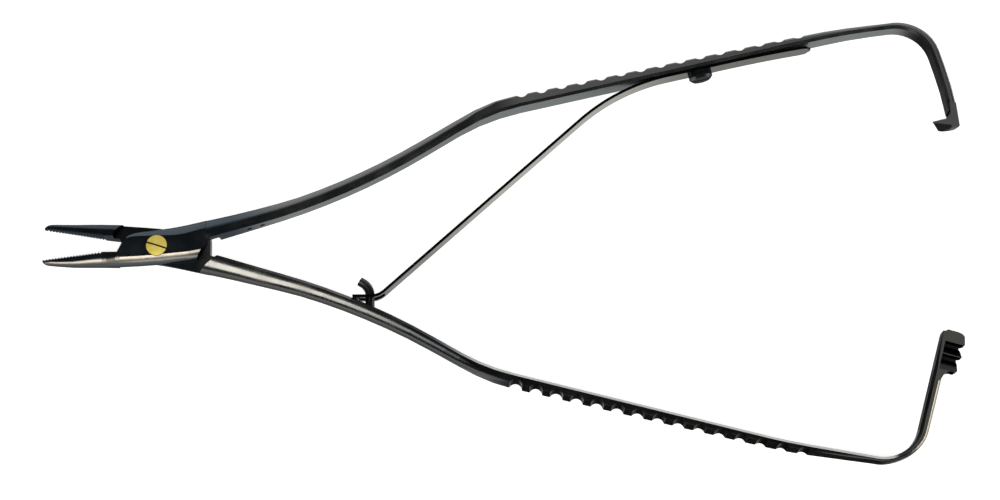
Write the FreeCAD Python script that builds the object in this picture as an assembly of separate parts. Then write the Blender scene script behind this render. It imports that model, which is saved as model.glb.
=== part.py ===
import FreeCAD, Part
import math
import os
from FreeCAD import Rotation, Vector

# Slim surgical needle holder with long sprung handles and an end ratchet.
# Millimetres. The pivot axis is X = Y = 0, Z is up, and the tool lies flat on Z = 0
# with its jaws towards -X, opened as far as its leaf spring opens it.
# The upper half carries the lower jaw and the upper handle, and lies on top at the lap joint.
# Plan points are (x, y) in the opened position.

# Overall depths, all measured about the middle plane
GRIP_DEPTH = 5.0
MIDDLE = GRIP_DEPTH / 2
JOINT_DEPTH = GRIP_DEPTH
SHANK_DEPTH = 3.9
ARM_DEPTH = 4.2
JAW_ROOT_DEPTH = 3.8
JAW_TIP_DEPTH = 1.9
FLAT_ALLOWANCE = 0.06
LAP_GAP = 0.03

# Opening and jaw faces
CLOSE_ANGLE = 15.55
CLOSED_TIP_GAP = 0.08
FACE_RELIEF_ANGLE = 1.6
UPPER_THROAT_STEP = 0.4
LOWER_THROAT_STEP = 0.2
LOWER_FACE_ANGLE = -7.7
LOWER_FACE_TIP = (-19.95, 3.38)
JAW_FACE_LENGTH = 13.3
TOOTH_PITCH = 0.54
TOOTH_DEPTH = 0.22
TOOTH_COUNT = 19
TOOTH_START = 0.35
TOOTH_CREST = 0.06
NOSE_LENGTH = 1.4
NOSE_THICKNESS = 0.85

# Front of the upper half in plan, from the jaw face root round the joint
UPPER_FRONT_EDGE = [(-5.95, 0.75), (-5.35, 1.62), (-3.8, 2.45), (0.2, 3.12), (3.0, 3.7), (6.0, 4.35), (9.0, 5.05)]
UPPER_CROTCH = (9.05, 1.55)
UPPER_HEEL = (6.8, -2.05)
UPPER_JAW_BACK = [(5.5, -2.32), (-0.6, -2.98), (-5.5, -3.32), (-15.0, -3.32)]
# Front of the lower half in plan
LOWER_FRONT_EDGE = [(-5.95, -0.35), (-5.35, -1.2), (-3.8, -2.05), (0.2, -2.75), (3.0, -3.35), (6.0, -4.0),
                    (9.0, -4.65)]
LOWER_CROTCH = (10.6, -1.55)
LOWER_HEEL = (9.1, 1.5)
LOWER_JAW_BACK = [(5.5, 2.75), (0.3, 3.6), (-5.5, 4.05), (-10.5, 4.22), (-15.0, 4.16)]
EDGE_CROWN = 1.5
TIP_CROWN = 0.55
CROWN_FLAT = 0.35
FRONT_CROWN = [(-5.95, 0.35), (-5.35, 0.7), (-3.8, 1.2), (0.2, 1.8), (3.0, 2.4), (9.0, 2.5)]
FRONT_CROWN_FLAT = 0.35
JAW_ROOT_X = -7.0
JAW_SWELL = 2.5
BLOCK_REACH = 12.0

# Lap shoulders, where each half swells to its full depth
UPPER_JAW_SHOULDER = [(-5.9, -3.9), (-7.5, -2.4), (-7.9, -0.6)]
UPPER_HANDLE_SHOULDER = [(11.3, 1.3), (7.7, 5.5)]
LOWER_JAW_SHOULDER = [(-5.7, 4.6), (-7.6, 2.4), (-8.1, 0.4)]
LOWER_HANDLE_SHOULDER = [(10.55, -1.5), (7.0, -4.75)]

# Handles: corners of the inner face line in plan, with a bend radius at each
HANDLE_SWEEP_RADIUS = 118.0
KNEE_RADIUS = 35.0
GRIP_END_RADIUS = 90.0
END_BEND_RADIUS = 6.5
ARM_RADIUS = 60.0
UPPER_LINE = [(4.0, 0.11), (32.86, 8.71), (57.28, 23.97), (121.0, 38.8), (133.95, 40.5), (137.38, 28.95),
              (138.12, 24.6)]
LOWER_LINE = [(4.0, 0.25), (35.4, -8.7), (57.16, -21.21), (108.2, -34.02), (129.05, -37.62), (135.35, -14.85)]
BEND_RADII = [HANDLE_SWEEP_RADIUS, KNEE_RADIUS, GRIP_END_RADIUS, END_BEND_RADIUS, ARM_RADIUS]

# Handle thickness in plan, at distances along the inner face line
UPPER_THICKNESS = [(0, 3.7), (10, 3.05), (22, 2.6), (45, 2.4), (58, 2.2), (70, 1.9), (112, 1.45),
                   (123, 1.25), (131, 1.1), (134, 1.3), (138, 1.55), (160, 1.55)]
LOWER_THICKNESS = [(0, 3.7), (10, 3.05), (22, 2.55), (45, 2.15), (58, 2.0), (70, 1.8), (112, 1.2),
                   (125, 0.85), (129, 0.92), (134, 1.55), (160, 1.68)]
SHANK_START = 18.0
SHANK_END = 50.0
GRIP_START = 62.0
GRIP_END = 112.0
ARM_START = 132.0
INNER_CHAMFER = 0.5
GRIP_CROWN = 0.3
ARM_CROWN = 0.8
RUN_STEP = 10.0
SHANK_STEP = 4.5
SHARP_TURN = math.radians(35)
BEND_STEP = math.radians(18)
SHANK_FLAT = 0.35

# Thumb notches along the outer edge of each grip
UPPER_NOTCH_COUNT = 15
LOWER_NOTCH_COUNT = 15
NOTCH_PITCH = 3.58
UPPER_NOTCH_X = 63.6
LOWER_NOTCH_X = 62.45
NOTCH_RADIUS = 1.15
UPPER_NOTCH_DEPTHS = (0.55, 0.4)
LOWER_NOTCH_DEPTHS = (0.95, 0.45)

# Hook at the end of the upper arm, longer on its upper side than on its lower side
HOOK_TOP = [(138.25, 26.0), (139.35, 26.0), (139.85, 21.75), (139.6, 21.46), (138.55, 21.65), (138.2, 21.95),
            (135.16, 22.25), (135.0, 22.44), (138.38, 23.25)]
HOOK_LOW = [(138.25, 26.0), (139.35, 26.0), (139.85, 22.5), (139.6, 22.2), (138.6, 22.0), (137.48, 21.9),
            (136.8, 22.0), (136.7, 22.3), (138.35, 24.0)]

# Rack at the end of the lower arm, measured back along the arm from its end
RACK_CROWN = -0.3
RACK_FIRST_LEDGE = 1.6
RACK_PITCH = 2.28
RACK_REACH = 4.1
RACK_STEP = 0.75
RACK_UNDERCUT = 0.4
RACK_FOOT = 6.74
RACK_FOOT_REACH = 3.75
RACK_FOOT_ROUND = 1.2
RACK_FOOT_CORNER = 0.35
RACK_WEB = 0.7
RACK_POCKET_DEPTH = 1.9
RACK_DEPTH = 2.4

# Pivot screw
SCREW_HEAD_RADIUS = 1.8
SCREW_HEAD_HEIGHT = 0.95
SCREW_HEAD_DOME = 0.22
SCREW_PROUD = 0.1
SCREW_SHANK_RADIUS = 1.15
SCREW_CLEARANCE = 0.04
SCREW_SLOT_WIDTH = 0.3
SCREW_SLOT_DEPTH = 0.55
SCREW_SLOT_ANGLE = -17.5

# Leaf spring, its screw and its horn
LEAF_THICKNESS = 0.5
LEAF_WIDTH = 3.4
LEAF_TAIL_X = 114.3
LEAF_CORNERS = [(38.25, -8.5), (33.9, -8.5)]
LEAF_BEND_RADIUS = 35.0
LEAF_TOE_RADIUS = 3.0
LEAF_SLOT_WIDTH = 1.9
LEAF_SLOT_BRIDGE = 1.3
LEAF_SLOT_LENGTH = 4.4
SPRING_SCREW_X = 94.5
LEAF_LIFT_X = SPRING_SCREW_X - 14.5
SPRING_SCREW_HEAD_RADIUS = 2.1
SPRING_SCREW_HEAD_HEIGHT = 1.4
SPRING_SCREW_BEVEL = 0.45
SPRING_SCREW_RADIUS = 1.0
SPRING_SCREW_SLOT = 0.45
HORN_FOOT_X = 36.85
HORN_RADIUS = 0.8
HORN_RISE = 1.9
HORN_BEND_RADIUS = 2.6
HORN_TURN = 58.0
HORN_TIP = 0.7
HORN_SEAT = 1.3

# Assembly punch marks on the inner face of the upper handle
MARK_RADIUS = 0.45
MARK_DEPTH = 0.7
MARK_X = (15.71, 17.91)


def vec(point, z=0.0):
    """Plan point at a height; a vector counts as a plan point too."""
    return Vector(point[0], point[1], z)


def interpolate(table, at):
    """Straight line between the pairs of a table."""
    for (a, low), (b, high) in zip(table, table[1:]):
        if at <= b:
            share = max(0.0, (at - a) / (b - a))
            return low + (high - low) * share
    return table[-1][1]


def ease(low, high, start, end, at):
    """Smooth step from low to high between start and end."""
    share = min(1.0, max(0.0, (at - start) / (end - start)))
    share = share * share * (3 - 2 * share)
    return low + (high - low) * share


class BentLine:
    """Plan line of straight runs joined by tangent arcs, measured by distance from its start."""

    def __init__(self, corners, radii):
        self.runs = []
        points = [Vector(x, y, 0) for x, y in corners]
        here = points[0]
        for i in range(1, len(points) - 1):
            inward = (points[i] - points[i - 1]).normalize()
            outward = (points[i + 1] - points[i]).normalize()
            turn = math.atan2(inward.cross(outward).z, inward.dot(outward))
            cut = abs(radii[i - 1] * math.tan(turn / 2))
            bend_start = points[i] - inward * cut
            self.runs.append((here, inward, (bend_start - here).Length, 0.0))
            self.runs.append((bend_start, inward, radii[i - 1] * abs(turn), turn))
            here = points[i] + outward * cut
        last = points[-1] - here
        self.runs.append((here, Vector(last).normalize(), last.Length, 0.0))
        self.length = sum(run[2] for run in self.runs)

    def at(self, distance):
        """Point and direction at a distance along the line."""
        left = distance
        for start, direction, length, turn in self.runs:
            if left <= length or (start, direction, length, turn) == self.runs[-1]:
                break
            left -= length
        if turn == 0.0:
            return start + direction * left, Vector(direction)
        radius = length / turn
        swept = turn * left / length
        normal = Vector(-direction.y, direction.x, 0)
        point = start + direction * (radius * math.sin(swept)) + normal * (radius * (1 - math.cos(swept)))
        along = direction * math.cos(swept) + normal * math.sin(swept)
        return point, along

    def distance_at_x(self, x):
        """Distance along the line of its first point at this x."""
        distance = 0.0
        step = 0.05
        while self.at(distance)[0].x < x:
            distance += step
        return distance


UPPER_PATH = BentLine(UPPER_LINE, BEND_RADII)
LOWER_PATH = BentLine(LOWER_LINE, BEND_RADII)


def depth_at(distance):
    """Depth of a handle at a distance along its inner face line."""
    if distance < SHANK_END:
        return ease(JOINT_DEPTH, SHANK_DEPTH, 4.0, SHANK_START, distance)
    if distance < GRIP_END:
        return ease(SHANK_DEPTH, GRIP_DEPTH + FLAT_ALLOWANCE, SHANK_END, GRIP_START, distance)
    return ease(GRIP_DEPTH + FLAT_ALLOWANCE, ARM_DEPTH, GRIP_END, ARM_START, distance)


def crown_at(distance, thickness, half):
    """Width, depth and roundness of the outer corners: a full crown on the shank, a small bevel on the grip."""
    if distance < GRIP_END:
        share = ease(1.0, 0.0, SHANK_END, GRIP_START, distance)
        across = GRIP_CROWN + (thickness - INNER_CHAMFER - SHANK_FLAT - GRIP_CROWN) * share
        down = GRIP_CROWN + (half - SHANK_FLAT - GRIP_CROWN) * share
        return across, down, share
    share = ease(0.0, 1.0, GRIP_END, ARM_START, distance)
    size = GRIP_CROWN + (ARM_CROWN - GRIP_CROWN) * share
    return size, size, share


def rounded(start, corner, end, roundness=1.0):
    """Corner from start to end: a straight bevel at roundness 0, a quarter of an ellipse at 1."""
    pull = 0.5523 * roundness
    slack = (1 - roundness) / 3
    poles = [start, start + (corner - start) * pull + (end - start) * slack]
    poles += [end + (corner - end) * pull + (start - end) * slack, end]
    curve = Part.BezierCurve()
    curve.setPoles(poles)
    return curve.toShape()


def handle_section(path, outer_side, distance, thickness):
    """Section across a handle: flat inner face with chamfers, crowned outer side."""
    point, along = path.at(distance)
    out = Vector(-along.y, along.x, 0) * outer_side
    half = depth_at(distance) / 2
    across, down, roundness = crown_at(distance, thickness, half)
    across = min(across, thickness - INNER_CHAMFER - 0.02)

    def place(n, z):
        return point + out * n + Vector(0, 0, MIDDLE + z)

    low_inner = place(0, INNER_CHAMFER - half)
    high_inner = place(0, half - INNER_CHAMFER)
    edges = [Part.makeLine(low_inner, high_inner)]
    edges.append(Part.makeLine(high_inner, place(INNER_CHAMFER, half)))
    edges.append(Part.makeLine(place(INNER_CHAMFER, half), place(thickness - across, half)))
    high = place(thickness - across, half), place(thickness, half), place(thickness, half - down)
    low = place(thickness, down - half), place(thickness, -half), place(thickness - across, -half)
    edges.append(rounded(*high, roundness))
    edges.append(Part.makeLine(high[2], low[0]))
    edges.append(rounded(*low, roundness))
    edges.append(Part.makeLine(place(thickness - across, -half), place(INNER_CHAMFER, -half)))
    edges.append(Part.makeLine(place(INNER_CHAMFER, -half), low_inner))
    return Part.Wire(edges)


def stretches(path):
    """Loft stations of each run, and whether they are joined by straight pieces or, round a sharp bend, smoothly."""
    distance = 0.0
    for _, _, length, turn in path.runs:
        step = RUN_STEP if turn == 0.0 and distance > SHANK_END else SHANK_STEP
        count = max(math.ceil(length / step), math.ceil(abs(turn) / BEND_STEP))
        ruled = abs(turn) < SHARP_TURN
        yield [distance + length * k / count for k in range(count + 1)], ruled
        distance += length


def handle(path, outer_side, thicknesses):
    """Handle lofted run by run along its path, its sides ground flat where the grip is widest."""
    solids = []
    for spots, ruled in stretches(path):
        wires = [handle_section(path, outer_side, d, interpolate(thicknesses, d)) for d in spots]
        solids.append(Part.makeLoft(wires, True, ruled))
    slab = Part.makeBox(200, 200, GRIP_DEPTH, Vector(-30, -100, 0))
    return solids[0].fuse(solids[1:]).common(slab)


def plan_prism(wire_points, low, high):
    """Upright prism over a closed polygon."""
    corners = [vec(p, low) for p in wire_points]
    face = Part.Face(Part.makePolygon(corners + [corners[0]]))
    return face.extrude(Vector(0, 0, high - low))


def crowned_section(x, back, far, half, across, down, side):
    """Section across the joint block: square towards far, rounded corners at the back."""
    down = min(down, half - 0.02)

    def place(y, z):
        return Vector(x, y, MIDDLE + z)

    inner = back - side * across
    edges = [Part.makeLine(place(far, -half), place(far, half))]
    edges.append(Part.makeLine(place(far, half), place(inner, half)))
    edges.append(rounded(place(inner, half), place(back, half), place(back, half - down)))
    edges.append(Part.makeLine(place(back, half - down), place(back, down - half)))
    edges.append(rounded(place(back, down - half), place(back, -half), place(inner, -half)))
    edges.append(Part.makeLine(place(inner, -half), place(far, -half)))
    return Part.Wire(edges)


def face_line(upper):
    """Tip of a jaw's gripping face and the direction of the face towards the joint."""
    if upper:
        angle = LOWER_FACE_ANGLE - FACE_RELIEF_ANGLE + CLOSE_ANGLE
        closed_tip = Vector(LOWER_FACE_TIP[0], LOWER_FACE_TIP[1] - CLOSED_TIP_GAP, 0)
        tip = Rotation(Vector(0, 0, 1), CLOSE_ANGLE).multVec(closed_tip)
    else:
        angle = LOWER_FACE_ANGLE
        tip = vec(LOWER_FACE_TIP)
    angle = math.radians(angle)
    return tip, Vector(math.cos(angle), math.sin(angle), 0)


def cushion(edge_points, side):
    """Room inside the rounded front edge of a lap plate, which flows on into the crown of its handle."""
    half = JOINT_DEPTH / 2 + FLAT_ALLOWANCE
    wires = []
    for x, y in edge_points:
        across = interpolate(FRONT_CROWN, x)
        down = across * (half - FRONT_CROWN_FLAT) / FRONT_CROWN[-1][1]
        wires.append(crowned_section(x, y, -side * BLOCK_REACH, half, across, down, side))
    x, y = edge_points[0]
    jaw_room = plan_prism([(-30, -side * BLOCK_REACH), (x + 0.3, -side * BLOCK_REACH), (x + 0.3, y), (-30, y)],
                          -1.0, JOINT_DEPTH + 1.0)
    return Part.makeLoft(wires, True, False).fuse(jaw_room)


def front(upper):
    """Jaw and joint block of one half at full depth."""
    tip, along = face_line(upper)
    side = -1 if upper else 1
    edge_points = UPPER_FRONT_EDGE if upper else LOWER_FRONT_EDGE
    crotch = UPPER_CROTCH if upper else LOWER_CROTCH
    heel = UPPER_HEEL if upper else LOWER_HEEL
    back = sorted(UPPER_JAW_BACK if upper else LOWER_JAW_BACK)
    far = -side * BLOCK_REACH
    wires = []
    for share in (0.04, 0.2, 0.5, 1.0):
        round_share = math.sqrt(1 - (1 - share) ** 2)
        x = tip.x + NOSE_LENGTH * share
        y = tip.y + side * NOSE_THICKNESS * round_share
        half = JAW_TIP_DEPTH / 2 * round_share
        wires.append(crowned_section(x, y, far, half, TIP_CROWN * round_share, half - 0.3 * round_share, side))
    for x in (-17.0, -14.5, -12.0, -9.5, -8.7, -7.9, -7.1, -6.3, -3.0, 0.0, 3.0, 5.5, heel[0] + 1.5):
        nose_back = (tip.x + NOSE_LENGTH, tip.y + side * NOSE_THICKNESS)
        y = interpolate([nose_back] + back + [(heel[0] + 1.5, back[-1][1] - side * 0.5)], x)
        depth = ease(JAW_TIP_DEPTH, JAW_ROOT_DEPTH, tip.x, JAW_ROOT_X, x)
        depth = ease(depth, JOINT_DEPTH + FLAT_ALLOWANCE, JAW_ROOT_X - JAW_SWELL, JAW_ROOT_X + 0.7, x)
        across = ease(TIP_CROWN, EDGE_CROWN, tip.x, JAW_ROOT_X, x)
        wires.append(crowned_section(x, y, far, depth / 2, across, depth / 2 - CROWN_FLAT, side))
    block = Part.makeLoft(wires, True, True)
    block = block.common(Part.makeBox(200, 200, JOINT_DEPTH, Vector(-100, -100, 0)))
    into = Vector(-along.y, along.x, 0) * side
    serrated = tip + along * (TOOTH_START + TOOTH_PITCH * TOOTH_COUNT + TOOTH_START)
    root = tip + along * JAW_FACE_LENGTH + into * (UPPER_THROAT_STEP if upper else LOWER_THROAT_STEP)
    start = tip - along
    beyond = -side * BLOCK_REACH
    rim = [start, serrated, root, edge_points[0], (edge_points[0][0], beyond), (edge_points[-1][0], beyond)]
    rim += [crotch, heel, (heel[0], -beyond), (start.x, -beyond)]
    outline = plan_prism(rim, 0.0, JOINT_DEPTH)
    return block.common(outline).common(cushion(edge_points, -side)).Solids[0]


def serrations(upper):
    """V grooves across a jaw's gripping face."""
    tip, along = face_line(upper)
    into = Vector(along.y, -along.x, 0) if upper else Vector(-along.y, along.x, 0)
    grooves = []
    for k in range(TOOTH_COUNT):
        a = tip + along * (TOOTH_START + TOOTH_PITCH * k + TOOTH_CREST / 2)
        b = tip + along * (TOOTH_START + TOOTH_PITCH * (k + 1) - TOOTH_CREST / 2)
        middle = (a + b) / 2 + into * TOOTH_DEPTH
        lift = into * -TOOTH_DEPTH
        face = Part.Face(Part.makePolygon([a + lift, a, middle, b, b + lift, a + lift]))
        grooves.append(face.extrude(Vector(0, 0, JOINT_DEPTH)))
    return Part.makeCompound(grooves)


def lap_pocket(upper):
    """Space that one half leaves for the lap plate of the other."""
    if upper:
        (a, b, c), (d, e) = UPPER_JAW_SHOULDER, UPPER_HANDLE_SHOULDER
        side = -1
        low, high = -1.0, MIDDLE + LAP_GAP / 2
    else:
        (a, b, c), (d, e) = LOWER_JAW_SHOULDER, LOWER_HANDLE_SHOULDER
        side = 1
        low, high = MIDDLE - LAP_GAP / 2, JOINT_DEPTH + 1.0
    beyond = side * BLOCK_REACH
    outline = [(a[0], beyond), a, b, c, (c[0], -beyond), (e[0], -beyond), e, d, (d[0], beyond)]
    return plan_prism(outline, low, high)


def notches(upper):
    """Thumb notches along the outer edge of a grip, shallower towards the end."""
    if upper:
        path, outer_side, thicknesses, first_x = UPPER_PATH, 1, UPPER_THICKNESS, UPPER_NOTCH_X
        count, depths = UPPER_NOTCH_COUNT, UPPER_NOTCH_DEPTHS
    else:
        path, outer_side, thicknesses, first_x = LOWER_PATH, -1, LOWER_THICKNESS, LOWER_NOTCH_X
        count, depths = LOWER_NOTCH_COUNT, LOWER_NOTCH_DEPTHS
    cutters = []
    for k in range(count):
        distance = path.distance_at_x(first_x) + NOTCH_PITCH * k
        point, along = path.at(distance)
        out = Vector(-along.y, along.x, 0) * outer_side
        depth = interpolate([(0, depths[0]), (count - 1, depths[1])], k)
        centre = point + out * (interpolate(thicknesses, distance) + NOTCH_RADIUS - depth)
        cutters.append(Part.makeCylinder(NOTCH_RADIUS, GRIP_DEPTH + 2, centre - Vector(0, 0, 1)))
    return Part.makeCompound(cutters)


def hook():
    """Wedge-ended hook, lofted between its outlines on the upper and lower sides of the arm."""
    wires = []
    for outline, z in ((HOOK_LOW, MIDDLE - ARM_DEPTH / 2), (HOOK_TOP, MIDDLE + ARM_DEPTH / 2)):
        corners = [vec(p, z) for p in outline]
        wires.append(Part.makePolygon(corners + [corners[0]]))
    return Part.makeLoft(wires, True, True)


def rack():
    """Rack block with stepped teeth and sloping pockets on the upper side."""
    end, along = LOWER_PATH.at(LOWER_PATH.length)
    out = Vector(along.y, -along.x, 0)
    top = MIDDLE + ARM_DEPTH / 2
    low = top - RACK_DEPTH
    stem = LOWER_THICKNESS[-1][1]

    def place(back, reach, z=low):
        return end - along * back + out * reach + Vector(0, 0, z)

    second = RACK_FIRST_LEDGE + RACK_PITCH
    root = RACK_REACH - RACK_STEP
    points = [place(0.35, 0.02), place(RACK_CROWN, 0.7), place(RACK_CROWN, RACK_REACH - 1.5)]
    points.append(place(RACK_CROWN / 2, RACK_REACH - 0.8))
    points.append(place(0.2, RACK_REACH - 0.35))
    points.append(place(RACK_FIRST_LEDGE, RACK_REACH))
    points.append(place(RACK_FIRST_LEDGE + RACK_UNDERCUT, root))
    points.append(place(second, RACK_REACH - 0.05))
    points.append(place(second + RACK_UNDERCUT / 2, root + 0.05))
    points.append(place(RACK_FOOT - RACK_FOOT_CORNER, RACK_FOOT_REACH + 0.1))
    points.append(place(RACK_FOOT, RACK_FOOT_REACH - RACK_FOOT_CORNER))
    points.append(place(RACK_FOOT, stem + RACK_FOOT_ROUND))
    edges = [Part.makeLine(a, b) for a, b in zip(points, points[1:])]
    bend = RACK_FOOT_ROUND * (1 - math.sqrt(0.5))
    foot_end = place(RACK_FOOT + RACK_FOOT_ROUND, stem - 0.02)
    edges.append(Part.Arc(points[-1], place(RACK_FOOT + bend, stem + bend), foot_end).toShape())
    inside = [foot_end, place(RACK_FOOT + 2.0, stem - 0.4), place(RACK_FOOT + 2.0, 0.6), points[0]]
    edges += [Part.makeLine(a, b) for a, b in zip(inside, inside[1:])]
    block = Part.Face(Part.Wire(edges)).extrude(Vector(0, 0, RACK_DEPTH))
    pockets = []
    for start, stop in ((RACK_FIRST_LEDGE, second), (second, RACK_FOOT)):
        profile = [(start + 0.15, -0.5), (start + 0.15, RACK_POCKET_DEPTH), (start + 0.75, RACK_POCKET_DEPTH * 0.92)]
        profile += [(start + 1.15, RACK_POCKET_DEPTH * 0.5), (stop, 0.0), (stop, -0.5)]
        corners = [place(back, RACK_WEB, top - down) for back, down in profile]
        face = Part.Face(Part.makePolygon(corners + [corners[0]]))
        pockets.append(face.extrude(out * RACK_REACH))
    return block, Part.makeCompound(pockets)


def strip(path, thickness, low, high):
    """Flat strip on edge: its one side follows the path, its other side lies to the right of it."""
    near, far = [], []
    distance = 0.0
    for start, direction, length, turn in path.runs:
        for offset, edges in ((0.0, near), (thickness, far)):
            spots = []
            for d in (distance, distance + length / 2, distance + length):
                point, along = path.at(min(d, path.length))
                spots.append(point + Vector(along.y, -along.x, 0) * -offset + Vector(0, 0, low))
            if turn == 0.0:
                edges.append(Part.makeLine(spots[0], spots[2]))
            else:
                edges.append(Part.Arc(*spots).toShape())
        distance += length
    caps = [Part.makeLine(near[0].Vertexes[0].Point, far[0].Vertexes[0].Point)]
    caps.append(Part.makeLine(near[-1].Vertexes[-1].Point, far[-1].Vertexes[-1].Point))
    wire = Part.Wire(Part.__sortEdges__(near + far + caps))
    return Part.Face(wire).extrude(Vector(0, 0, high - low))


def spring_screw_frame():
    """Point on the inner face of the upper handle under the spring screw, and the way out of the handle."""
    point, along = UPPER_PATH.at(UPPER_PATH.distance_at_x(SPRING_SCREW_X))
    return point + Vector(0, 0, MIDDLE), Vector(-along.y, along.x, 0)


def make_leaf():
    tail = UPPER_PATH.at(UPPER_PATH.distance_at_x(LEAF_TAIL_X))[0]
    lift = UPPER_PATH.at(UPPER_PATH.distance_at_x(LEAF_LIFT_X))[0]
    path = BentLine([(tail.x, tail.y), (lift.x, lift.y)] + LEAF_CORNERS, [LEAF_BEND_RADIUS, LEAF_TOE_RADIUS])
    low = MIDDLE - LEAF_WIDTH / 2
    leaf = strip(path, LEAF_THICKNESS, low, low + LEAF_WIDTH)
    start, along = path.at(0)
    normal = Vector(along.y, -along.x, 0)
    radius = LEAF_WIDTH / 2
    centre = start + along * radius + Vector(0, 0, MIDDLE)
    corner = centre - normal * 2 - along * radius - Vector(0, 0, radius)
    square = Part.Face(Part.makePolygon([corner, corner + along * radius, corner + along * radius
                                         + Vector(0, 0, LEAF_WIDTH), corner + Vector(0, 0, LEAF_WIDTH), corner]))
    rounding = square.extrude(normal * 4).cut(Part.makeCylinder(radius, 6, centre - normal * 3, normal))
    leaf = leaf.cut(rounding)
    slot_start = path.at(path.length - LEAF_SLOT_BRIDGE)[0].x
    slot_end = path.at(path.length - LEAF_SLOT_BRIDGE - LEAF_SLOT_LENGTH)[0].x
    slot = Part.makeBox(slot_end - slot_start, 10, LEAF_SLOT_WIDTH,
                        Vector(slot_start, path.at(path.length)[0].y - 4, MIDDLE - LEAF_SLOT_WIDTH / 2))
    point, out = spring_screw_frame()
    hole = Part.makeCylinder(SPRING_SCREW_RADIUS + SCREW_CLEARANCE, 6, point - out * 3, out)
    return leaf.cut(slot).cut(hole)


def make_spring_screw():
    point, out = spring_screw_frame()
    seat = point - out * LEAF_THICKNESS
    head = Part.makeCylinder(SPRING_SCREW_HEAD_RADIUS, SPRING_SCREW_HEAD_HEIGHT,
                             seat - out * SPRING_SCREW_HEAD_HEIGHT, out)
    outer_edges = [e for e in head.Edges if e.Curve.TypeId == "Part::GeomCircle"
                   and e.CenterOfMass.sub(seat).Length > SPRING_SCREW_HEAD_HEIGHT / 2]
    head = head.makeChamfer(SPRING_SCREW_BEVEL, outer_edges)
    length = LEAF_THICKNESS + interpolate(UPPER_THICKNESS, UPPER_PATH.distance_at_x(SPRING_SCREW_X))
    shank = Part.makeCylinder(SPRING_SCREW_RADIUS, length, seat, out)
    across = Vector(0, 0, 1)
    side = out.cross(across)
    corner = seat - out * (SPRING_SCREW_HEAD_HEIGHT + 0.1) - across * SPRING_SCREW_SLOT / 2 - side * 3
    face = Part.Face(Part.makePolygon([corner, corner + side * 6, corner + side * 6 + across * SPRING_SCREW_SLOT,
                                       corner + across * SPRING_SCREW_SLOT, corner]))
    slot = face.extrude(out * (SPRING_SCREW_HEAD_HEIGHT * 0.5))
    return head.fuse(shank).cut(slot).cut(notches(True)).removeSplitter()


def make_pivot_screw():
    seat = JOINT_DEPTH + SCREW_PROUD - SCREW_HEAD_HEIGHT
    shank = Part.makeCylinder(SCREW_SHANK_RADIUS, seat, Vector(0, 0, 0))
    rim = Vector(SCREW_HEAD_RADIUS, 0, JOINT_DEPTH + SCREW_PROUD)
    crown = Vector(0, 0, JOINT_DEPTH + SCREW_PROUD + SCREW_HEAD_DOME)
    middle = Vector(SCREW_HEAD_RADIUS / 2, 0, JOINT_DEPTH + SCREW_PROUD + SCREW_HEAD_DOME * 0.76)
    edges = [Part.makeLine(Vector(0, 0, seat), Vector(SCREW_HEAD_RADIUS, 0, seat))]
    edges.append(Part.makeLine(Vector(SCREW_HEAD_RADIUS, 0, seat), rim))
    edges.append(Part.Arc(rim, middle, crown).toShape())
    edges.append(Part.makeLine(crown, Vector(0, 0, seat)))
    head = Part.Face(Part.Wire(edges)).revolve(Vector(0, 0, 0), Vector(0, 0, 1), 360)
    slot = Part.makeBox(6, SCREW_SLOT_WIDTH, 3, Vector(-3, -SCREW_SLOT_WIDTH / 2, crown.z - SCREW_SLOT_DEPTH))
    slot.rotate(Vector(0, 0, 0), Vector(0, 0, 1), SCREW_SLOT_ANGLE)
    return head.fuse(shank).cut(slot)


def make_horn(clearance=0.0):
    """Curved peg, standing on the inner face of the lower handle."""
    foot = LOWER_PATH.at(LOWER_PATH.distance_at_x(HORN_FOOT_X))[0]
    start = Vector(foot.x, foot.y - HORN_SEAT, MIDDLE)
    bend = Vector(foot.x, foot.y + HORN_RISE, MIDDLE)
    turn = math.radians(HORN_TURN)

    def on_arc(angle):
        return bend + Vector(HORN_BEND_RADIUS * (math.cos(angle) - 1), HORN_BEND_RADIUS * math.sin(angle), 0)

    tip = on_arc(turn) + Vector(-math.sin(turn), math.cos(turn), 0) * HORN_TIP
    spine = Part.Wire([Part.makeLine(start, bend), Part.Arc(bend, on_arc(turn / 2), on_arc(turn)).toShape(),
                       Part.makeLine(on_arc(turn), tip)])
    ring = Part.Wire([Part.Circle(start, Vector(0, 1, 0), HORN_RADIUS).toShape()])
    rod = spine.makePipeShell([ring], True, False)
    seat = Part.makeCylinder(HORN_RADIUS, HORN_SEAT + 1.0, start, Vector(0, 1, 0))
    return rod, seat


def make_upper_half():
    half = front(True).fuse(handle(UPPER_PATH, 1, UPPER_THICKNESS)).fuse(hook())
    half = half.cut(lap_pocket(True)).cut(serrations(True))
    half = half.cut(notches(True))
    seat = JOINT_DEPTH + SCREW_PROUD - SCREW_HEAD_HEIGHT
    half = half.cut(Part.makeCylinder(SCREW_SHANK_RADIUS + SCREW_CLEARANCE, JOINT_DEPTH + 2, Vector(0, 0, -1)))
    half = half.cut(Part.makeCylinder(SCREW_HEAD_RADIUS + SCREW_CLEARANCE, JOINT_DEPTH, Vector(0, 0, seat - SCREW_CLEARANCE)))
    point, out = spring_screw_frame()
    half = half.cut(Part.makeCylinder(SPRING_SCREW_RADIUS, 8, point - out * 2, out))
    for x in MARK_X:
        spot, along = UPPER_PATH.at(UPPER_PATH.distance_at_x(x))
        inward = Vector(-along.y, along.x, 0)
        mouth = spot - inward + Vector(0, 0, MIDDLE)
        half = half.cut(Part.makeCylinder(MARK_RADIUS, MARK_DEPTH + 1.0, mouth, inward))
    return half.removeSplitter()


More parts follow.
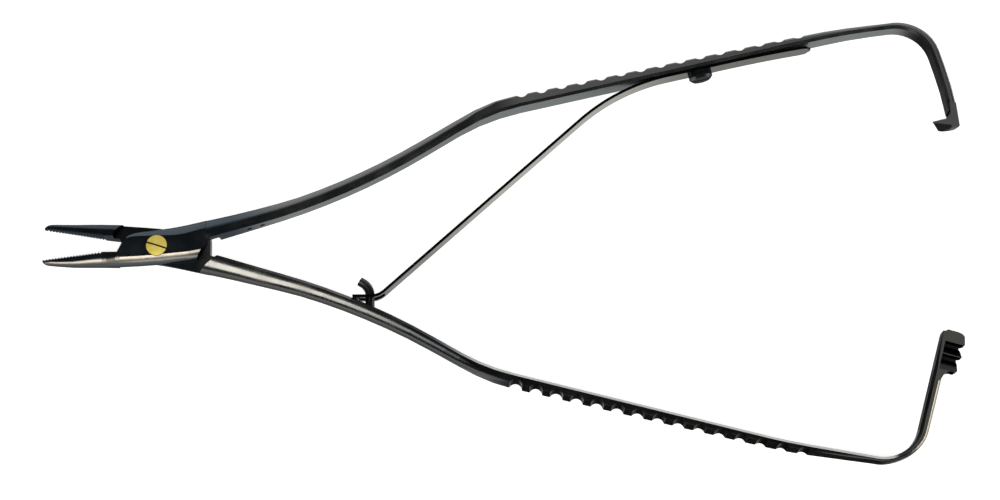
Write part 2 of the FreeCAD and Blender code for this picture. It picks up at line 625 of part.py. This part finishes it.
def make_lower_half():
    block, pockets = rack()
    half = front(False).fuse(handle(LOWER_PATH, -1, LOWER_THICKNESS)).fuse(block).cut(pockets)
    half = half.cut(lap_pocket(False)).cut(serrations(False))
    half = half.cut(notches(False))
    half = half.cut(Part.makeCylinder(SCREW_SHANK_RADIUS, JOINT_DEPTH + 2, Vector(0, 0, -1)))
    return half.cut(make_horn()[1]).removeSplitter()


if __name__ == "__main__":
    os.makedirs("parts", exist_ok=True)
    pieces = {"upper_half": make_upper_half(), "lower_half": make_lower_half()}
    pieces["pivot_screw"] = make_pivot_screw()
    pieces["leaf_spring"] = make_leaf()
    pieces["spring_screw"] = make_spring_screw()
    pieces["spring_horn"] = make_horn()[0]
    for name, shape in pieces.items():
        shape.exportStep("parts/" + name + ".step")
        print(name, shape.isValid(), len(shape.Solids), len(shape.Faces), round(shape.Volume, 2), shape.BoundBox)
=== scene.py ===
# %% [markdown]
# # Surgical needle holder
# The imported model gives every rigid piece in its true size and place. This script gives each piece
# its finish, rebuilds the leaf spring with many faces along it, and sets up the floor, light and camera.

# %% Load the frame
import math
import bpy
import bmesh
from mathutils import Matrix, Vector


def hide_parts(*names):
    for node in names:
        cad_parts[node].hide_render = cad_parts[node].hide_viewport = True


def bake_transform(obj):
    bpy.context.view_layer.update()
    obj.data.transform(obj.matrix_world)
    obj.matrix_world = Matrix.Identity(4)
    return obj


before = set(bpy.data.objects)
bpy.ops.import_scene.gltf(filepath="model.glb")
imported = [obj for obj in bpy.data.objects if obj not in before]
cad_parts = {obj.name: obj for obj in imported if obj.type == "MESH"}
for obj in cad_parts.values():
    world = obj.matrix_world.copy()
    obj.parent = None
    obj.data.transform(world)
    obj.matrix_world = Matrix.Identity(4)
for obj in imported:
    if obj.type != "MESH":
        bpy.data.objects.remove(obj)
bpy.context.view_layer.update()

MM = 0.001


# %% [markdown]
# ## Tools for node materials
# Each finish is a small graph of nodes. A few helpers keep the graphs readable: one adds a node, one
# starts an empty material with a shader and an output, one lays a colour or a value over another
# where a mask says so, and one starts a node group with its sockets.

# %% Node helpers
def add_node(tree, kind, **values):
    node = tree.nodes.new(kind)
    for key, value in values.items():
        setattr(node, key, value)
    return node


def new_material(name):
    material = bpy.data.materials.new(name)
    material.use_nodes = True
    tree = material.node_tree
    tree.nodes.clear()
    shader = add_node(tree, "ShaderNodeBsdfPrincipled")
    output = add_node(tree, "ShaderNodeOutputMaterial")
    tree.links.new(shader.outputs["BSDF"], output.inputs["Surface"])
    return material, tree, shader


def lay_over(tree, below, mask, above):
    """The value or colour 'above' where the mask is 1, and what comes in below elsewhere."""
    is_colour = isinstance(above, tuple)
    mix = add_node(tree, "ShaderNodeMix", data_type="RGBA" if is_colour else "FLOAT")
    mix.inputs["B"].default_value = (*above, 1.0) if is_colour else above
    tree.links.new(mask, mix.inputs["Factor"])
    tree.links.new(below, mix.inputs["A"])
    return mix.outputs["Result"]


def start_group(name, inputs, outputs):
    group = bpy.data.node_groups.new(name, "ShaderNodeTree")
    for label, default in inputs:
        kind = "NodeSocketVector" if default is None else "NodeSocketFloat"
        socket = group.interface.new_socket(name=label, in_out="INPUT", socket_type=kind)
        if default is not None:
            socket.default_value = default
    for label in outputs:
        group.interface.new_socket(name=label, in_out="OUTPUT", socket_type="NodeSocketFloat")
    return group, add_node(group, "NodeGroupInput"), add_node(group, "NodeGroupOutput")


print("node helpers ready")


# %% [markdown]
# ## Polished steel
# The real tool is forged stainless steel, ground with fine wheels and then polished until it mirrors
# the studio. Under a lens it keeps faint polishing marks and soft clouds where the sheen changes. The
# marks could be an image, but a node group keeps them sharp at any distance and serves every steel
# piece: it puts out a cloud mask, a roughness that follows it, and a height for the Bump node.

# %% Polish group
CLOUD_SCALE = 260.0
MARK_SCALE = 2600.0
MARK_STRETCH = (0.15, 1.0, 1.0)


def make_polish_group():
    inputs = (("Cloud Scale", CLOUD_SCALE), ("Mark Scale", MARK_SCALE), ("Roughness Low", 0.12),
              ("Roughness High", 0.3))
    group, inp, out = start_group("polish_marks", inputs, ("Cloud", "Roughness", "Height"))
    coords = add_node(group, "ShaderNodeTexCoord")
    cloud = add_node(group, "ShaderNodeTexNoise")
    cloud.inputs["Detail"].default_value = 4.0
    marks = add_node(group, "ShaderNodeTexNoise")
    marks.inputs["Detail"].default_value = 6.0
    spread = add_node(group, "ShaderNodeMapRange")
    spread.inputs["From Min"].default_value = 0.35
    spread.inputs["From Max"].default_value = 0.65
    stretch = add_node(group, "ShaderNodeMapping")
    stretch.inputs["Scale"].default_value = MARK_STRETCH
    links = group.links
    links.new(coords.outputs["Object"], cloud.inputs["Vector"])
    links.new(coords.outputs["Object"], stretch.inputs["Vector"])
    links.new(stretch.outputs["Vector"], marks.inputs["Vector"])
    links.new(inp.outputs["Cloud Scale"], cloud.inputs["Scale"])
    links.new(inp.outputs["Mark Scale"], marks.inputs["Scale"])
    links.new(cloud.outputs["Fac"], spread.inputs["Value"])
    links.new(inp.outputs["Roughness Low"], spread.inputs["To Min"])
    links.new(inp.outputs["Roughness High"], spread.inputs["To Max"])
    links.new(spread.outputs["Result"], out.inputs["Roughness"])
    links.new(cloud.outputs["Fac"], out.inputs["Cloud"])
    links.new(marks.outputs["Fac"], out.inputs["Height"])
    return group


polish_group = make_polish_group()
print("polish group", [item.name for item in polish_group.interface.items_tree])


# %% [markdown]
# ## Painted shade on the sides of the grips and arms
# The upright sides of the grips and arms get painted shade, so they are darker than the ground tops.
# A second node group finds them: the surface stands upright, and lies beyond a given distance from
# the joint. Painting them by hand would break with each new mesh.

# %% Side shade group
UPRIGHT_FULL = 0.25
UPRIGHT_NONE = 0.55


def fade_along_x(group, coords, inp):
    """A soft step along X, from 0 at Start X to 1 at End X, which may lie on either side of it."""
    place = add_node(group, "ShaderNodeSeparateXYZ")
    fade = add_node(group, "ShaderNodeMapRange", interpolation_type="SMOOTHSTEP")
    group.links.new(coords.outputs["Object"], place.inputs["Vector"])
    group.links.new(place.outputs["X"], fade.inputs["Value"])
    group.links.new(inp.outputs["Start X"], fade.inputs["From Min"])
    group.links.new(inp.outputs["End X"], fade.inputs["From Max"])
    return fade.outputs["Result"]


# The mask for painted shade: upright surfaces past a soft step along X.
def make_side_shade_group():
    group, inp, out = start_group("painted_side_shade", (("Start X", 0.058), ("End X", 0.066)), ("Mask",))
    coords = add_node(group, "ShaderNodeTexCoord")
    upright = add_node(group, "ShaderNodeSeparateXYZ")
    size = add_node(group, "ShaderNodeMath", operation="ABSOLUTE")
    steep = add_node(group, "ShaderNodeMapRange")
    steep.inputs["From Min"].default_value = UPRIGHT_NONE
    steep.inputs["From Max"].default_value = UPRIGHT_FULL
    both = add_node(group, "ShaderNodeMath", operation="MULTIPLY")
    links = group.links
    links.new(coords.outputs["Normal"], upright.inputs["Vector"])
    links.new(upright.outputs["Z"], size.inputs[0])
    links.new(size.outputs[0], steep.inputs["Value"])
    links.new(steep.outputs["Result"], both.inputs[0])
    links.new(fade_along_x(group, coords, inp), both.inputs[1])
    links.new(both.outputs[0], out.inputs["Mask"])
    return group


side_shade_group = make_side_shade_group()
print("dull group", [item.name for item in side_shade_group.interface.items_tree])


# %% [markdown]
# ## Zones along the tool
# Some tones change along the tool, and some painted highlights and painted shade lie on surfaces
# that face one way, such as a bright bevel. Separate objects or painted masks could carry them, but a
# third group finds them on any mesh: the surface faces near a direction, and lies past a soft step
# along X. Direction (0, 0, 0) leaves the facing out.

# %% Zone group
def make_zone_group():
    inputs = (("Direction", None), ("Facing Start", 0.8), ("Facing Full", 0.95), ("Start X", 0.03),
              ("End X", 0.05))
    group, inp, out = start_group("tone_and_painted_light_zone", inputs, ("Mask",))
    coords = add_node(group, "ShaderNodeTexCoord")
    facing = add_node(group, "ShaderNodeVectorMath", operation="DOT_PRODUCT")
    near = add_node(group, "ShaderNodeMapRange", interpolation_type="SMOOTHSTEP")
    both = add_node(group, "ShaderNodeMath", operation="MULTIPLY")
    links = group.links
    links.new(coords.outputs["Normal"], facing.inputs[0])
    links.new(inp.outputs["Direction"], facing.inputs[1])
    links.new(facing.outputs["Value"], near.inputs["Value"])
    links.new(inp.outputs["Facing Start"], near.inputs["From Min"])
    links.new(inp.outputs["Facing Full"], near.inputs["From Max"])
    links.new(near.outputs["Result"], both.inputs[0])
    links.new(fade_along_x(group, coords, inp), both.inputs[1])
    links.new(both.outputs[0], out.inputs["Mask"])
    return group


zone_group = make_zone_group()
print("zone group", [item.name for item in zone_group.interface.items_tree])

ALL_WAYS = (-1.0, -0.5)


# Painted shade on upright sides, between two places along X.
def side_shade_mask(tree, start, end):
    side_shade = add_node(tree, "ShaderNodeGroup", node_tree=side_shade_group)
    side_shade.inputs["Start X"].default_value = start
    side_shade.inputs["End X"].default_value = end
    return side_shade.outputs["Mask"]


def zone_mask(tree, start, end, direction=(0, 0, 0), facing=ALL_WAYS):
    zone = add_node(tree, "ShaderNodeGroup", node_tree=zone_group)
    zone.inputs["Start X"].default_value = start
    zone.inputs["End X"].default_value = end
    zone.inputs["Direction"].default_value = direction
    zone.inputs["Facing Start"].default_value = facing[0]
    zone.inputs["Facing Full"].default_value = facing[1]
    return zone.outputs["Mask"]


# %% [markdown]
# ## One recipe for all metal
# Every piece is metal, from mirror-bright to satin. One recipe serves them all: two tints mixed by the
# clouds, a roughness that follows them, and a slight bump from the polishing marks. A low tint at
# grazing angles keeps the upright sides dark, as on steel with a thin dark film.

# %% Steel recipe
BUMP_DISTANCE = 0.02 * MM


def make_steel(name, dark, light, roughness, bump=0.03, edge_tint=0.35, metallic=1.0,
               cloud_scale=CLOUD_SCALE):
    material, tree, shader = new_material(name)
    polish = add_node(tree, "ShaderNodeGroup", node_tree=polish_group)
    polish.inputs["Cloud Scale"].default_value = cloud_scale
    polish.inputs["Roughness Low"].default_value = roughness[0]
    polish.inputs["Roughness High"].default_value = roughness[1]
    tint = add_node(tree, "ShaderNodeMix", data_type="RGBA")
    tint.inputs["A"].default_value = (*dark, 1.0)
    tint.inputs["B"].default_value = (*light, 1.0)
    rise = add_node(tree, "ShaderNodeBump")
    rise.inputs["Strength"].default_value = bump
    rise.inputs["Distance"].default_value = BUMP_DISTANCE
    tree.links.new(polish.outputs["Cloud"], tint.inputs["Factor"])
    tree.links.new(tint.outputs["Result"], shader.inputs["Base Color"])
    tree.links.new(polish.outputs["Roughness"], shader.inputs["Roughness"])
    tree.links.new(polish.outputs["Height"], rise.inputs["Height"])
    tree.links.new(rise.outputs["Normal"], shader.inputs["Normal"])
    shader.inputs["Metallic"].default_value = metallic
    shader.inputs["Specular Tint"].default_value = (edge_tint, edge_tint, edge_tint, 1.0)
    return material, tree, shader, tint.outputs["Result"], polish.outputs["Roughness"]


BODY_DARK = (0.14, 0.145, 0.15)
BODY_LIGHT = (0.20, 0.20, 0.195)
BODY_ROUGHNESS = (0.2, 0.3)
BODY_EDGE = 0.35
# The edge tint where upright sides get painted shade.
SIDE_SHADE_EDGE_TINT = 0.05
TOP = (0, 0, 1)
print("body tints", BODY_DARK, BODY_LIGHT)

# %% [markdown]
# ## Upper half
# The upper half is polished steel, nearly black around the joint. A painted highlight streak runs
# along the lower jaw's crown to the lap plate, over painted shade on the lower edges of lap plate and
# jaw. Behind the joint a painted reflection makes the inner side lighter, on the grip the ground top is
# brushed and carries a lighter painted sheen, and the arm's upright sides get painted shade. Each
# zone is laid over the last.

# %% Upper half steel
upper_steel, tree, shader, colour, rough = make_steel(
    "upper_half_steel", BODY_DARK, BODY_LIGHT, BODY_ROUGHNESS, edge_tint=BODY_EDGE)
joint = zone_mask(tree, 0.024, 0.012)
# A painted highlight along the jaw's crown, where the zone is also rougher.
painted_highlight_streak = zone_mask(tree, 0.011, 0.004, (0, -0.70, 0.71), (0.78, 0.95))
# Painted shade on the lower edges of the lap plate and the jaw.
lap_edge_painted_shade = zone_mask(tree, 0.011, 0.004, (0, -0.97, 0.25), (0.92, 0.985))
jaw_edge_painted_shade = zone_mask(tree, -0.003, -0.009, (0, -0.97, 0.25), (0.82, 0.94))
# A painted reflection that lightens the inner side behind the joint.
inner_side_painted_reflection = zone_mask(tree, 0.013, 0.022, (0.2, -0.96, 0.15), (0.75, 0.92))
# The brushed grip top: rougher, and with a lighter painted sheen.
brushed_top_painted_sheen = zone_mask(tree, 0.056, 0.064, TOP, (0.9, 0.98))
# Painted shade on the arm's upright sides.
arm_sides_painted_shade = side_shade_mask(tree, 0.128, 0.134)
for mask, tint in ((joint, (0.072, 0.088, 0.104)), (painted_highlight_streak, (0.40, 0.375, 0.335)),
                   (lap_edge_painted_shade, (0.075, 0.085, 0.095)), (jaw_edge_painted_shade, (0.075, 0.085, 0.095)),
                   (inner_side_painted_reflection, (0.25, 0.268, 0.275)), (brushed_top_painted_sheen, (0.21, 0.22, 0.225)),
                   (arm_sides_painted_shade, (0.04, 0.042, 0.045))):
    colour = lay_over(tree, colour, mask, tint)
for mask, roughness in ((painted_highlight_streak, 0.4), (brushed_top_painted_sheen, 0.52)):
    rough = lay_over(tree, rough, mask, roughness)
tree.links.new(colour, shader.inputs["Base Color"])
tree.links.new(rough, shader.inputs["Roughness"])
print(upper_steel.name, len(tree.nodes), "nodes")

# %% [markdown]
# ## Lower half
# The lower half is dark on its jaw and lap plate, bright on its shank and darker again beyond it. Its
# outer side gets painted shade, and the upright sides of the grip get nearly black painted shade, in
# colour and edge tint. The inner bevel of the grip and the outer crown of the arm carry painted
# highlights; the top of the arm and rack is satin with a lighter painted sheen, the arm's inner edge
# gets painted shade, and the floors of the rack's pockets are painted dark as shade.

# %% Lower half steel
lower_steel, tree, shader, colour, rough = make_steel(
    "lower_half_steel", BODY_DARK, BODY_LIGHT, BODY_ROUGHNESS, edge_tint=BODY_EDGE)
jaw_and_lap = zone_mask(tree, 0.0085, 0.0065)
beyond_shank = zone_mask(tree, 0.028, 0.050)
# Painted shade on the outer side.
outer_side_painted_shade = zone_mask(tree, 0.007, 0.008, (-0.25, -0.955, 0.15), (0.75, 0.93))
# Nearly black painted shade on the grip's upright sides, also in the edge tint below.
grip_sides_painted_shade = side_shade_mask(tree, 0.056, 0.064)
# A painted highlight on the grip's inner bevel.
inner_bevel_painted_highlight = zone_mask(tree, 0.046, 0.058, (0.14, 0.70, 0.70), (0.85, 0.97))
# The satin arm top: rougher, and with a lighter painted sheen.
arm_top_painted_sheen = zone_mask(tree, 0.118, 0.126, TOP, (0.93, 0.99))
# Painted shade on the arm's inner edge.
arm_inner_edge_painted_shade = zone_mask(tree, 0.118, 0.126, (-0.70, 0.15, 0.70), (0.82, 0.94))
# Painted shade on the floors of the rack's pockets.
pocket_floors_painted_shade = zone_mask(tree, 0.126, 0.127, (0, 0.80, 0.60), (0.80, 0.90))
# A painted highlight on the arm's outer crown.
arm_outer_crown_painted_highlight = zone_mask(tree, 0.120, 0.128, (0.72, -0.2, 0.66), (0.82, 0.95))
for mask, tint in ((jaw_and_lap, (0.055, 0.066, 0.078)), (beyond_shank, (0.053, 0.06, 0.067)),
                   (outer_side_painted_shade, (0.075, 0.077, 0.08)), (grip_sides_painted_shade, (0.018, 0.022, 0.027)),
                   (inner_bevel_painted_highlight, (0.42, 0.42, 0.41)), (arm_top_painted_sheen, (0.17, 0.175, 0.17)),
                   (arm_inner_edge_painted_shade, (0.035, 0.036, 0.04)), (pocket_floors_painted_shade, (0.03, 0.031, 0.033)),
                   (arm_outer_crown_painted_highlight, (0.34, 0.32, 0.27))):
    colour = lay_over(tree, colour, mask, tint)
# The grip sides' painted shade also lowers the edge tint.
edge_tint_with_side_shade = add_node(tree, "ShaderNodeMix", data_type="RGBA")
edge_tint_with_side_shade.inputs["A"].default_value = (BODY_EDGE, BODY_EDGE, BODY_EDGE, 1.0)
edge_tint_with_side_shade.inputs["B"].default_value = (SIDE_SHADE_EDGE_TINT, SIDE_SHADE_EDGE_TINT, SIDE_SHADE_EDGE_TINT, 1.0)
tree.links.new(grip_sides_painted_shade, edge_tint_with_side_shade.inputs["Factor"])
tree.links.new(edge_tint_with_side_shade.outputs["Result"], shader.inputs["Specular Tint"])
tree.links.new(colour, shader.inputs["Base Color"])
tree.links.new(lay_over(tree, rough, arm_top_painted_sheen, 0.5), shader.inputs["Roughness"])
print(lower_steel.name, len(tree.nodes), "nodes")

# %% [markdown]
# ## Spring steel
# The leaf is bright spring steel along its free middle. It is darker where it lies on the handle and
# towards its toe, and its upward-facing edge gets nearly black painted shade.

# %% Spring steel
spring_steel, tree, shader, colour, rough = make_steel(
    "spring_steel", (0.085, 0.085, 0.082), (0.125, 0.124, 0.12), (0.15, 0.25), edge_tint=0.6)
free_middle = zone_mask(tree, 0.094, 0.078)
# Darker towards the toe.
darker_toe = zone_mask(tree, 0.062, 0.044)
# Painted shade on the leaf's upward-facing edge.
top_edge_painted_shade = zone_mask(tree, -1.0, -0.5, TOP, (0.5, 0.9))
for mask, tint in ((free_middle, (0.31, 0.31, 0.29)), (darker_toe, (0.06, 0.06, 0.058)),
                   (top_edge_painted_shade, (0.03, 0.03, 0.032))):
    colour = lay_over(tree, colour, mask, tint)
tree.links.new(colour, shader.inputs["Base Color"])
print(spring_steel.name, len(tree.nodes), "nodes")

# %% [markdown]
# ## Screws and horn
# The leaf's screw and the horn are nearly black steel. The pivot screw is satin brass, less like a
# mirror and mottled in finer clouds, and its slot is painted nearly black as shade. The painted shade
# lies below the head's face, so a mask finds it by height.

# %% Screw finishes
SLOT_FACE_Z = 5.12 * MM
SLOT_DARK_Z = 5.06 * MM

screw_steel = make_steel("screw_steel", (0.05, 0.055, 0.06), (0.09, 0.095, 0.10), (0.2, 0.3))[0]

pivot_brass, tree, shader, colour, rough = make_steel(
    "pivot_brass", (0.95, 0.64, 0.05), (1.0, 0.95, 0.28), (0.32, 0.5), bump=0.15, edge_tint=1.0,
    metallic=0.2, cloud_scale=1100.0)
coords = add_node(tree, "ShaderNodeTexCoord")
height = add_node(tree, "ShaderNodeSeparateXYZ")
# Painted shade in the slot, below the head's face.
low = add_node(tree, "ShaderNodeMapRange")
low.inputs["From Min"].default_value = SLOT_FACE_Z
low.inputs["From Max"].default_value = SLOT_DARK_Z
tree.links.new(coords.outputs["Object"], height.inputs["Vector"])
tree.links.new(height.outputs["Z"], low.inputs["Value"])
colour = lay_over(tree, colour, low.outputs["Result"], (0.012, 0.01, 0.008))
tree.links.new(colour, shader.inputs["Base Color"])
print(pivot_brass.name, len(tree.nodes), "nodes")

# %% [markdown]
# ## Dress the rigid pieces
# The two halves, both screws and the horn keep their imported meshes, which already have the crowns,
# teeth and notches. They only get their finish.

# %% Rigid pieces
for node, material in (("upper_half", upper_steel), ("lower_half", lower_steel),
                       ("pivot_screw", pivot_brass), ("spring_screw", screw_steel),
                       ("spring_horn", screw_steel)):
    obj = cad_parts[node]
    obj.data.materials.clear()
    obj.data.materials.append(material)
    print(node, len(obj.data.polygons), "faces")


# %% [markdown]
# ## Leaf spring
# The leaf is a flat strip of spring steel. It is screwed under the upper handle, leaves it in a smooth
# bend and rests with a slotted, slightly upturned toe on the lower handle. When the tool closes it
# bends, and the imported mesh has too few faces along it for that. So the path is laid out again here, as
# straight runs with arcs between them, in many short steps. Its tail stands slightly off the handle.

# %% Leaf path
LEAF_TAIL = (114.343, 37.251)
LEAF_LIFT = (80.011, 29.260)
LEAF_KNEE = (38.25, -8.5)
LEAF_TOE = (33.9, -8.5)
LEAF_BENDS = (35.0, 3.0)
LEAF_STEP = 0.8
TAIL_FREE_X = 99.0
TAIL_DROP = 0.45


def rounded_path(corners, radii, step):
    """Points along straight runs with tangent arcs at the corners."""
    points = [Vector(c) for c in corners]
    found = [points[0]]
    for i in range(1, len(points) - 1):
        inward = (points[i] - points[i - 1]).normalized()
        outward = (points[i + 1] - points[i]).normalized()
        turn = inward.angle_signed(outward) * -1
        cut = abs(radii[i - 1] * math.tan(turn / 2))
        start = points[i] - inward * cut
        normal = Vector((-inward.y, inward.x)) * (1 if turn > 0 else -1)
        count = max(3, int(abs(turn) * radii[i - 1] / step))
        for k in range(count + 1):
            a = abs(turn) * k / count
            found.append(start + (inward * math.sin(a) + normal * (1 - math.cos(a))) * radii[i - 1])
    found.append(points[-1])
    dense = [found[0]]
    for a, b in zip(found, found[1:]):
        pieces = max(1, int((b - a).length / step))
        dense += [a.lerp(b, (k + 1) / pieces) for k in range(pieces)]
    return dense


leaf_path = rounded_path([LEAF_TAIL, LEAF_LIFT, LEAF_KNEE, LEAF_TOE], LEAF_BENDS, LEAF_STEP)
for point in leaf_path:
    free = max(0.0, (point.x - TAIL_FREE_X) / (LEAF_TAIL[0] - TAIL_FREE_X))
    point.y -= TAIL_DROP * free * free
leaf_length = sum((b - a).length for a, b in zip(leaf_path, leaf_path[1:]))
print("leaf stations", len(leaf_path), "flat length in mm", round(leaf_length, 1))


# %% [markdown]
# ## Leaf strip
# Three strips side by side run along the path, and the middle one is left open for the slot near the
# toe. The tail narrows to a round end. A curve with a profile would be shorter to write, but couldn't
# hold the slot.

# %% Leaf mesh
LEAF_THICKNESS = 0.5
LEAF_WIDTH = 3.4
LEAF_MIDDLE = 2.5
SLOT_WIDTH = 1.9
SLOT_BRIDGE = 1.3
SLOT_LENGTH = 4.4
SMALLEST_SHARE = 0.05
SPLIT_ANGLE = 40


def make_leaf():
    mesh = bpy.data.meshes.new("leaf")
    bm = bmesh.new()
    lengths = [0.0]
    for a, b in zip(leaf_path, leaf_path[1:]):
        lengths.append(lengths[-1] + (b - a).length)
    total = lengths[-1]
    half = LEAF_WIDTH / 2
    rows = []
    for i, point in enumerate(leaf_path):
        along = (leaf_path[min(i + 1, len(leaf_path) - 1)] - leaf_path[max(i - 1, 0)]).normalized()
        right = Vector((-along.y, along.x))
        round_end = 1 - max(0.0, 1 - lengths[i] / half) ** 2
        wide = half * math.sqrt(max(SMALLEST_SHARE ** 2, round_end))
        row = []
        for across in (-wide, -min(wide, SLOT_WIDTH / 2), min(wide, SLOT_WIDTH / 2), wide):
            for depth in (0.0, LEAF_THICKNESS):
                spot = point + right * depth
                row.append(bm.verts.new((spot.x * MM, spot.y * MM, (LEAF_MIDDLE + across) * MM)))
        rows.append(row)

    def open_here(i):
        middle = (lengths[i] + lengths[i + 1]) / 2
        return total - SLOT_BRIDGE - SLOT_LENGTH < middle < total - SLOT_BRIDGE

    for i in range(len(rows) - 1):
        a, b = rows[i], rows[i + 1]
        for strip in range(3):
            k = strip * 2
            if strip == 1 and open_here(i):
                bm.faces.new((a[2], b[2], b[3], a[3]))
                bm.faces.new((a[4], b[4], b[5], a[5]))
                continue
            bm.faces.new((a[k], b[k], b[k + 2], a[k + 2]))
            bm.faces.new((a[k + 1], a[k + 3], b[k + 3], b[k + 1]))
            if strip == 1 and (i == 0 or open_here(i - 1)):
                bm.faces.new((a[2], a[3], a[5], a[4]))
            if strip == 1 and i < len(rows) - 2 and open_here(i + 1):
                bm.faces.new((b[2], b[3], b[5], b[4]))
        bm.faces.new((a[0], a[1], b[1], b[0]))
        bm.faces.new((a[6], b[6], b[7], a[7]))
    for row in (rows[0], rows[-1]):
        for strip in range(3):
            if row is rows[0] and strip == 1:
                continue
            k = strip * 2
            bm.faces.new((row[k], row[k + 1], row[k + 3], row[k + 2]))
    bmesh.ops.recalc_face_normals(bm, faces=bm.faces)
    bm.to_mesh(mesh)
    bm.free()
    for face in mesh.polygons:
        face.use_smooth = True
    leaf = bpy.data.objects.new("leaf", mesh)
    bpy.context.scene.collection.objects.link(leaf)
    mesh.materials.append(spring_steel)
    split = leaf.modifiers.new("edges", "EDGE_SPLIT")
    split.split_angle = math.radians(SPLIT_ANGLE)
    return leaf


leaf = make_leaf()
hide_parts("leaf_spring")
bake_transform(leaf)
print("leaf faces", len(leaf.data.polygons))


# %% [markdown]
# ## Floor
# The tool lies on a white sheet. A matt white plane takes its soft shadow. A little emission, seen only
# by the camera and in mirror-like surfaces, brings the sheet up to white without more light on the tool.

# %% Floor
FLOOR_REACH = 3.0
FLOOR_Z = -0.05 * MM
FLOOR_GLOW = 0.82


def make_floor():
    mesh = bpy.data.meshes.new("floor")
    signs = ((-1, -1), (1, -1), (1, 1), (-1, 1))
    mesh.from_pydata([(x * FLOOR_REACH, y * FLOOR_REACH, FLOOR_Z) for x, y in signs], [], [(0, 1, 2, 3)])
    floor = bpy.data.objects.new("floor", mesh)
    bpy.context.scene.collection.objects.link(floor)
    material, tree, shader = new_material("pale_floor")
    shader.inputs["Base Color"].default_value = (0.9, 0.9, 0.9, 1)
    shader.inputs["Roughness"].default_value = 0.9
    shader.inputs["Specular IOR Level"].default_value = 0.0
    shader.inputs["Emission Color"].default_value = (1, 1, 1, 1)
    paths = add_node(tree, "ShaderNodeLightPath")
    seen = paths.outputs["Is Camera Ray"]
    for ray in ("Is Glossy Ray", "Is Transmission Ray"):
        either = add_node(tree, "ShaderNodeMath", operation="MAXIMUM")
        tree.links.new(seen, either.inputs[0])
        tree.links.new(paths.outputs[ray], either.inputs[1])
        seen = either.outputs[0]
    strength = add_node(tree, "ShaderNodeMath", operation="MULTIPLY")
    strength.inputs[1].default_value = FLOOR_GLOW
    tree.links.new(seen, strength.inputs[0])
    tree.links.new(strength.outputs[0], shader.inputs["Emission Strength"])
    mesh.materials.append(material)
    return floor


floor = make_floor()
print("floor", [round(size, 2) for size in floor.dimensions])


# %% [markdown]
# ## Sky
# Polished steel shows what is around it. The studio is dark, so that flat sides look nearly black, but
# for a pale wall on the far side, past the upper handle, which draws the grey bands on its crown. A
# soft step in the world's Y direction makes that wall. A picture of a studio would need an image.

# %% Sky
WALL_START_Y = 0.55
WALL_FULL_Y = 0.85
DARK_STRENGTH = 0.05
WALL_STRENGTH = 1.0


def make_sky():
    world = bpy.data.worlds.new("studio")
    bpy.context.scene.world = world
    world.use_nodes = True
    tree = world.node_tree
    tree.nodes.clear()
    coords = add_node(tree, "ShaderNodeTexCoord")
    split = add_node(tree, "ShaderNodeSeparateXYZ")
    ramp = add_node(tree, "ShaderNodeMapRange", interpolation_type="SMOOTHSTEP")
    ramp.inputs["From Min"].default_value = WALL_START_Y
    ramp.inputs["From Max"].default_value = WALL_FULL_Y
    ramp.inputs["To Min"].default_value = DARK_STRENGTH
    ramp.inputs["To Max"].default_value = WALL_STRENGTH
    background = add_node(tree, "ShaderNodeBackground")
    background.inputs["Color"].default_value = (0.95, 0.98, 1.0, 1)
    output = add_node(tree, "ShaderNodeOutputWorld")
    tree.links.new(coords.outputs["Generated"], split.inputs["Vector"])
    tree.links.new(split.outputs["Y"], ramp.inputs["Value"])
    tree.links.new(ramp.outputs["Result"], background.inputs["Strength"])
    tree.links.new(background.outputs["Background"], output.inputs["Surface"])
    return world


print("sky", make_sky().name)


# %% [markdown]
# ## Soft boxes
# One tall soft box on the side of the lower handle draws the warm streaks along the lower jaw and the
# lower shank. A second one, low behind the handle ends, draws the strip on the lower arm's outer crown.
# Each is given by its brightness as seen in the steel, from which the lamp's power follows.

# %% Soft boxes
def soft_box(name, place, aim, width, height, radiance, colour):
    data = bpy.data.lights.new(name, "AREA")
    data.shape = "RECTANGLE"
    data.size = width
    data.size_y = height
    data.energy = radiance * math.pi * width * height
    data.color = colour
    lamp = bpy.data.objects.new(name, data)
    lamp.location = place
    direction = Vector(aim) - Vector(place)
    lamp.rotation_euler = direction.to_track_quat("-Z", "Y").to_euler()
    bpy.context.scene.collection.objects.link(lamp)
    print(name, round(data.energy, 2), "W")


soft_box("near_box", (-0.12, -0.45, 0.75), (0.02, 0, 0), 0.36, 0.72, 5.5, (1.0, 0.94, 0.85))
soft_box("side_box", (0.95, -0.2, 0.33), (0.13, -0.02, 0), 0.8, 0.28, 4.0, (1.0, 0.96, 0.88))


# %% [markdown]
# ## Camera
# The photograph was taken through a long lens from nearly above, from the lower handle's side. The
# place and the tip were fitted to the outlines of the joint, the grips and the handle ends.

# %% Camera
CAMERA_PLACE = (0.05932, -0.10127, 0.40192)
CAMERA_TIP = 14.2

camera_data = bpy.data.cameras.new("camera")
camera_data.lens = 85.4
camera_data.sensor_width = 36.0
camera_data.clip_start = 0.01
camera = bpy.data.objects.new("camera", camera_data)
camera.location = CAMERA_PLACE
camera.rotation_euler = (math.radians(CAMERA_TIP), 0, 0)
bpy.context.scene.collection.objects.link(camera)
bpy.context.scene.camera = camera
bpy.context.scene.view_settings.view_transform = "Standard"
print("camera", camera_data.lens, "mm lens at", CAMERA_PLACE)
